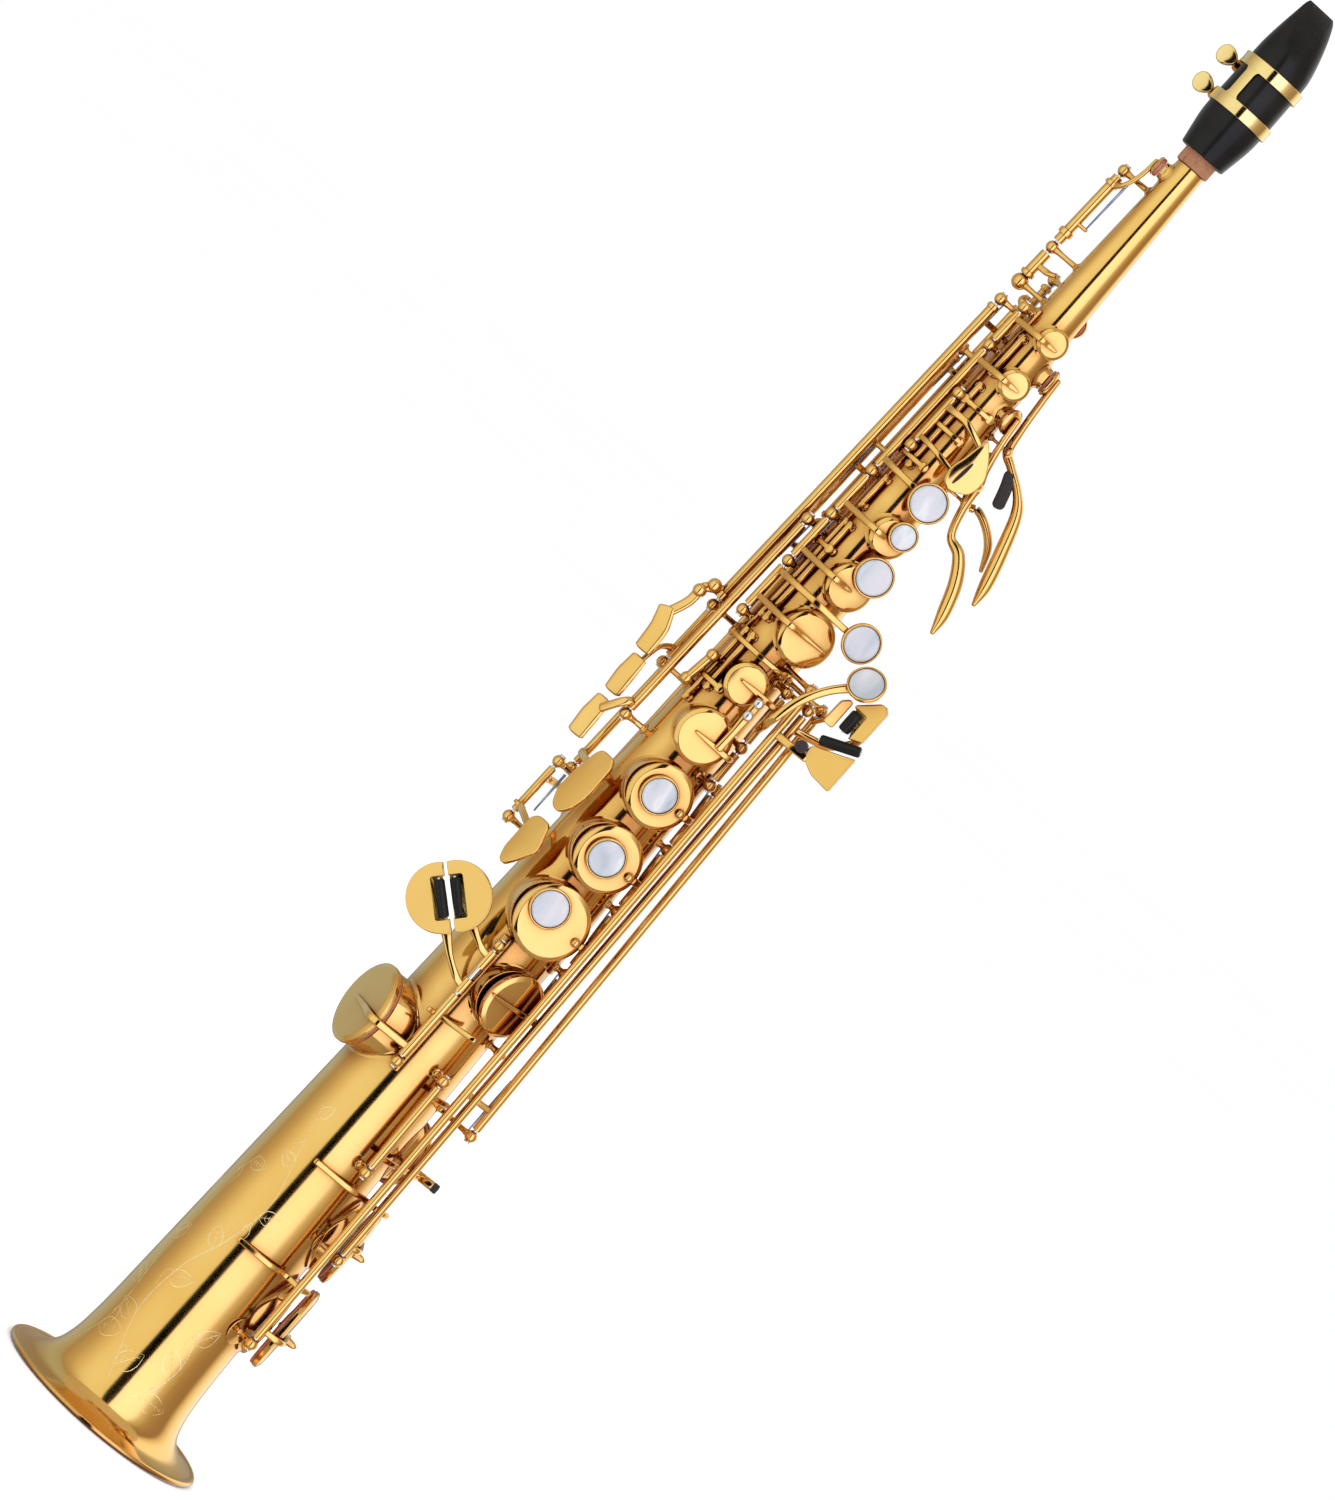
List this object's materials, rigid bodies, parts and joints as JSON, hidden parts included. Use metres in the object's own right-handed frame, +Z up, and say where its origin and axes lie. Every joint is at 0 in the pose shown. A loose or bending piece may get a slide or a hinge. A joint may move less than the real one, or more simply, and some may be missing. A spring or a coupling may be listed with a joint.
{
  "type": "soprano saxophone",
  "caption": "Straight soprano saxophone in gold-lacquered brass with ebonite mouthpiece, ligature, pearl touches, padded keys on rods and posts, and a flared bell it stands on.",
  "frame": {"origin": "centre of the bell rim plane, on the bore axis, where the instrument stands", "axes": "+Z up the bore axis to the mouthpiece, -Y the front with the finger keys, +X the left-hand palm-key side"},
  "size_m": [0.0974, 0.0906, 0.7],
  "materials": {
    "body_brass": "clear gold lacquer, polished, with fine leaf engraving on the bell",
    "key_brass": "clear gold lacquer over polished brass",
    "ligature_brass": "bright pale gold lacquer",
    "ebonite": "polished black ebonite",
    "cork": "natural sheet cork, waxed",
    "mother_of_pearl": "polished mother of pearl",
    "roller_black": "black plastic roller, satin",
    "pad_leather": "brown kid leather pad",
    "spring_steel": "blued steel needle spring",
    "screw_steel": "nickel-plated adjusting screw",
    "felt_black": "black felt and cork bumper"
  },
  "bodies": {
    "body": {"left_hand_rib": "key_brass", "right_hand_rib": "key_brass", "pinky_rib": "key_brass", "body_tube": "body_brass", "thumb_hook": "key_brass", "thumb_rest": "ebonite", "strap_ring": "key_brass", "neck_cork": "cork"},
    "c_vent_key": {"c_vent_key": "key_brass"},
    "b_key": {"b_key": "key_brass", "b_pearl": "mother_of_pearl"},
    "bis_key": {"bis_key": "key_brass", "bis_pearl": "mother_of_pearl"},
    "a_key": {"a_key": "key_brass", "a_pearl": "mother_of_pearl"},
    "g_key": {"g_key": "key_brass", "g_pearl": "mother_of_pearl"},
    "front_f_key": {"front_f_key": "key_brass"},
    "palm_f_key": {"palm_f_key": "key_brass"},
    "palm_e_flat_key": {"palm_e_flat_key": "key_brass"},
    "palm_d_key": {"palm_d_key": "key_brass"},
    "upper_octave_key": {"upper_octave_key": "key_brass"},
    "octave_rocker": {"octave_rocker": "key_brass"},
    "octave_thumb_key": {"octave_thumb_key": "key_brass"},
    "lower_octave_key": {"lower_octave_key": "key_brass"},
    "g_sharp_key": {"g_sharp_key": "key_brass", "g_sharp_pearl": "mother_of_pearl"},
    "f_sharp_key": {"f_sharp_key": "key_brass"},
    "f_key": {"f_key": "key_brass", "f_pearl": "mother_of_pearl"},
    "e_key": {"e_key": "key_brass", "e_pearl": "mother_of_pearl"},
    "d_key": {"d_key": "key_brass", "d_pearl": "mother_of_pearl"},
    "e_flat_lever": {"e_flat_lever": "key_brass"},
    "low_c_lever": {"low_c_lever": "key_brass"},
    "e_flat_key": {"e_flat_key": "key_brass"},
    "low_c_key": {"low_c_key": "key_brass"},
    "low_c_sharp_lever": {"low_c_sharp_lever": "key_brass"},
    "low_c_sharp_key": {"low_c_sharp_key": "key_brass"},
    "low_b_key": {"low_b_key": "key_brass"},
    "low_b_flat_key": {"low_b_flat_key": "key_brass"},
    "side_e_key": {"side_e_key": "key_brass"},
    "side_c_key": {"side_c_key": "key_brass"},
    "side_b_flat_key": {"side_b_flat_key": "key_brass"},
    "high_f_sharp_key": {"high_f_sharp_key": "key_brass"},
    "high_g_lever": {"high_g_lever": "key_brass"},
    "high_g_key": {"high_g_key": "key_brass"},
    "e_flat_roller": {"e_flat_roller": "roller_black"},
    "low_c_roller": {"low_c_roller": "roller_black"},
    "low_b_roller": {"low_b_roller": "roller_black"},
    "low_b_flat_roller": {"low_b_flat_roller": "roller_black"},
    "mouthpiece": {"mouthpiece": "ebonite", "ligature": "ligature_brass"},
    "ligature_screw_upper": {"ligature_screw_upper": "ligature_brass"},
    "ligature_screw_lower": {"ligature_screw_lower": "ligature_brass"}
  },
  "joints": [
    {"name": "c_vent_key_pivot", "type": "hinge", "parent": "body", "child": "c_vent_key", "pos_m": [-0.02838, -0.01639, 0], "axis": [0.029, 0.0167, 0.9994], "range_deg": [0, 7]},
    {"name": "b_key_pivot", "type": "hinge", "parent": "body", "child": "b_key", "pos_m": [-0.02838, -0.01639, 0], "axis": [0.029, 0.0167, 0.9994], "range_deg": [0, 7], "stiffness_Nm_per_rad": 0.05, "springref_deg": -17.19},
    {"name": "bis_key_pivot", "type": "hinge", "parent": "body", "child": "bis_key", "pos_m": [-0.02838, -0.01639, 0], "axis": [0.029, 0.0167, 0.9994], "range_deg": [0, 6.5], "stiffness_Nm_per_rad": 0.05, "springref_deg": -17.19},
    {"name": "a_key_pivot", "type": "hinge", "parent": "body", "child": "a_key", "pos_m": [-0.02838, -0.01639, 0], "axis": [0.029, 0.0167, 0.9994], "range_deg": [0, 6.5], "stiffness_Nm_per_rad": 0.05, "springref_deg": -17.19},
    {"name": "g_key_pivot", "type": "hinge", "parent": "body", "child": "g_key", "pos_m": [-0.02838, -0.01639, 0], "axis": [0.029, 0.0167, 0.9994], "range_deg": [0, 6.5], "stiffness_Nm_per_rad": 0.05, "springref_deg": -17.19},
    {"name": "front_f_key_pivot", "type": "hinge", "parent": "body", "child": "front_f_key", "pos_m": [-0.02112, -0.02346, 0], "axis": [0.0224, 0.0249, 0.9994], "range_deg": [0, 4.5], "stiffness_Nm_per_rad": 0.05, "springref_deg": -17.19},
    {"name": "palm_f_key_pivot", "type": "hinge", "parent": "body", "child": "palm_f_key", "pos_m": [0.0185, -0.002, 0.499], "axis": [0, 1, 0], "range_deg": [0, 6], "stiffness_Nm_per_rad": 0.05, "springref_deg": -17.19},
    {"name": "palm_e_flat_key_pivot", "type": "hinge", "parent": "body", "child": "palm_e_flat_key", "pos_m": [0.0185, -0.011, 0.482], "axis": [0, 1, 0], "range_deg": [0, 6], "stiffness_Nm_per_rad": 0.05, "springref_deg": -17.19},
    {"name": "palm_d_key_pivot", "type": "hinge", "parent": "body", "child": "palm_d_key", "pos_m": [0.0195, 0.003, 0.474], "axis": [0, 1, 0], "range_deg": [0, 6], "stiffness_Nm_per_rad": 0.05, "springref_deg": -17.19},
    {"name": "upper_octave_key_pivot", "type": "hinge", "parent": "body", "child": "upper_octave_key", "pos_m": [-0.0205, 0.0074, 0.55], "axis": [-0.0368, 0.014, -0.9992], "range_deg": [0, 8]},
    {"name": "octave_rocker_pivot", "type": "hinge", "parent": "body", "child": "octave_rocker", "pos_m": [-0.0205, 0.0074, 0.55], "axis": [0.0368, -0.014, 0.9992], "range_deg": [0, 8]},
    {"name": "octave_thumb_key_pivot", "type": "hinge", "parent": "body", "child": "octave_thumb_key", "pos_m": [-0.0272, 0.0272, 0], "axis": [0.0237, -0.0237, 0.9994], "range_deg": [0, 8], "stiffness_Nm_per_rad": 0.05, "springref_deg": -17.19},
    {"name": "lower_octave_key_pivot", "type": "hinge", "parent": "body", "child": "lower_octave_key", "pos_m": [-0.00119, 0.03395, 0], "axis": [0.0012, -0.0335, 0.9994], "range_deg": [0, 7], "stiffness_Nm_per_rad": 0.05, "springref_deg": -17.19},
    {"name": "g_sharp_key_pivot", "type": "hinge", "parent": "body", "child": "g_sharp_key", "pos_m": [0.02587, -0.02171, 0], "axis": [-0.0256, 0.0215, 0.9994], "range_deg": [0, 7], "stiffness_Nm_per_rad": 0.05, "springref_deg": -17.19},
    {"name": "f_sharp_key_pivot", "type": "hinge", "parent": "body", "child": "f_sharp_key", "pos_m": [0.02587, -0.02171, 0], "axis": [0.0256, -0.0215, -0.9994], "range_deg": [0, 6.5]},
    {"name": "f_key_pivot", "type": "hinge", "parent": "body", "child": "f_key", "pos_m": [0.03136, -0.0084, 0], "axis": [0.0323, -0.0087, -0.9994], "range_deg": [0, 6.5], "stiffness_Nm_per_rad": 0.05, "springref_deg": -17.19},
    {"name": "e_key_pivot", "type": "hinge", "parent": "body", "child": "e_key", "pos_m": [0.03136, -0.0084, 0], "axis": [0.0323, -0.0087, -0.9994], "range_deg": [0, 6.5], "stiffness_Nm_per_rad": 0.05, "springref_deg": -17.19},
    {"name": "d_key_pivot", "type": "hinge", "parent": "body", "child": "d_key", "pos_m": [0.03136, -0.0084, 0], "axis": [0.0323, -0.0087, -0.9994], "range_deg": [0, 6.5], "stiffness_Nm_per_rad": 0.05, "springref_deg": -17.19},
    {"name": "e_flat_lever_pivot", "type": "hinge", "parent": "body", "child": "e_flat_lever", "pos_m": [-0.00312, -0.03242, 0], "axis": [-0.0032, -0.0333, -0.9994], "range_deg": [0, 8], "stiffness_Nm_per_rad": 0.05, "springref_deg": -17.19},
    {"name": "low_c_lever_pivot", "type": "hinge", "parent": "body", "child": "low_c_lever", "pos_m": [-0.00312, -0.03242, 0], "axis": [-0.0032, -0.0333, -0.9994], "range_deg": [0, 8], "stiffness_Nm_per_rad": 0.05, "springref_deg": -17.19},
    {"name": "e_flat_key_pivot", "type": "hinge", "parent": "body", "child": "e_flat_key", "pos_m": [-0.00312, -0.03242, 0], "axis": [0.0032, 0.0333, 0.9994], "range_deg": [0, 8]},
    {"name": "low_c_key_pivot", "type": "hinge", "parent": "body", "child": "low_c_key", "pos_m": [0.03136, -0.0084, 0], "axis": [0.0323, -0.0087, -0.9994], "range_deg": [0, 6.5]},
    {"name": "low_c_sharp_lever_pivot", "type": "hinge", "parent": "body", "child": "low_c_sharp_lever", "pos_m": [0.0372, -0.004, 0.172], "axis": [-0.033, -0.025, 0.9991], "range_deg": [0, 7], "stiffness_Nm_per_rad": 0.05, "springref_deg": -17.19},
    {"name": "low_c_sharp_key_pivot", "type": "hinge", "parent": "body", "child": "low_c_sharp_key", "pos_m": [0.01926, -0.027, 0], "axis": [0.0194, -0.0273, -0.9994], "range_deg": [0, 7]},
    {"name": "low_b_key_pivot", "type": "hinge", "parent": "body", "child": "low_b_key", "pos_m": [0.0304, -0.015, 0.105], "axis": [-0.015, -0.0131, 0.9998], "range_deg": [0, 10], "stiffness_Nm_per_rad": 0.05, "springref_deg": -17.19},
    {"name": "low_b_flat_key_pivot", "type": "hinge", "parent": "body", "child": "low_b_flat_key", "pos_m": [0.0267, -0.019, 0.06], "axis": [-0.0138, -0.0096, 0.9999], "range_deg": [0, 10], "stiffness_Nm_per_rad": 0.05, "springref_deg": -17.19},
    {"name": "side_e_key_pivot", "type": "hinge", "parent": "body", "child": "side_e_key", "pos_m": [-0.03945, -0.00138, 0], "axis": [0.0335, 0.0012, 0.9994], "range_deg": [0, 7], "stiffness_Nm_per_rad": 0.05, "springref_deg": -17.19},
    {"name": "side_c_key_pivot", "type": "hinge", "parent": "body", "child": "side_c_key", "pos_m": [-0.0383, 0.00955, 0], "axis": [0.0325, -0.0081, 0.9994], "range_deg": [0, 7], "stiffness_Nm_per_rad": 0.05, "springref_deg": -17.19},
    {"name": "side_b_flat_key_pivot", "type": "hinge", "parent": "body", "child": "side_b_flat_key", "pos_m": [-0.03506, -0.01005, 0], "axis": [0.0322, 0.0092, 0.9994], "range_deg": [0, 7], "stiffness_Nm_per_rad": 0.05, "springref_deg": -17.19},
    {"name": "high_f_sharp_key_pivot", "type": "hinge", "parent": "body", "child": "high_f_sharp_key", "pos_m": [-0.03529, 0.01877, 0], "axis": [0.0296, -0.0157, 0.9994], "range_deg": [0, 6], "stiffness_Nm_per_rad": 0.05, "springref_deg": -17.19},
    {"name": "high_g_lever_pivot", "type": "hinge", "parent": "body", "child": "high_g_lever", "pos_m": [-0.032, 0.003, 0.272], "axis": [0.0214, -0.0071, 0.9997], "range_deg": [0, 6], "stiffness_Nm_per_rad": 0.05, "springref_deg": -17.19},
    {"name": "high_g_key_pivot", "type": "hinge", "parent": "body", "child": "high_g_key", "pos_m": [-0.02048, 0.03548, 0], "axis": [0.0167, -0.029, 0.9994], "range_deg": [0, 6]},
    {"name": "e_flat_roller_spin", "type": "hinge", "parent": "e_flat_lever", "child": "e_flat_roller", "pos_m": [-0.03178, -0.0278, 0.24434], "axis": [0.7511, 0, -0.6601], "continuous": true},
    {"name": "low_c_roller_spin", "type": "hinge", "parent": "low_c_lever", "child": "low_c_roller", "pos_m": [-0.03574, -0.0278, 0.23983], "axis": [0.7511, 0, -0.6601], "continuous": true},
    {"name": "low_b_roller_spin", "type": "hinge", "parent": "low_b_key", "child": "low_b_roller", "pos_m": [0.04092, -0.02382, 0.38055], "axis": [0.002, -0.0028, 1], "continuous": true},
    {"name": "low_b_flat_roller_spin", "type": "hinge", "parent": "low_b_flat_key", "child": "low_b_flat_roller", "pos_m": [0.03652, -0.02368, 0.37267], "axis": [0.9042, -0.1603, 0.3959], "continuous": true},
    {"name": "mouthpiece_slide", "type": "slide", "parent": "body", "child": "mouthpiece", "axis": [0, 0, 1], "range_m": [0, 0.006]},
    {"name": "ligature_screw_upper_turn", "type": "hinge", "parent": "mouthpiece", "child": "ligature_screw_upper", "pos_m": [-0.01313, 0.0079, 0.664], "axis": [-0.6816, -0.7317, 0], "range_deg": [0, 360]},
    {"name": "ligature_screw_lower_turn", "type": "hinge", "parent": "mouthpiece", "child": "ligature_screw_lower", "pos_m": [-0.01313, 0.0079, 0.6505], "axis": [-0.6816, -0.7317, 0], "range_deg": [0, 360]}
  ],
  "couplings": [
    {"joint": "c_vent_key_pivot", "follows": "b_key_pivot", "ratio": 1},
    {"joint": "upper_octave_key_pivot", "follows": "octave_thumb_key_pivot", "ratio": 1},
    {"joint": "octave_rocker_pivot", "follows": "octave_thumb_key_pivot", "ratio": 1},
    {"joint": "f_sharp_key_pivot", "follows": "f_key_pivot", "ratio": 1},
    {"joint": "e_flat_key_pivot", "follows": "e_flat_lever_pivot", "ratio": 1},
    {"joint": "low_c_key_pivot", "follows": "low_c_lever_pivot", "ratio": 0.8125},
    {"joint": "low_c_sharp_key_pivot", "follows": "low_c_sharp_lever_pivot", "ratio": 1},
    {"joint": "high_g_key_pivot", "follows": "high_g_lever_pivot", "ratio": 1}
  ]
}
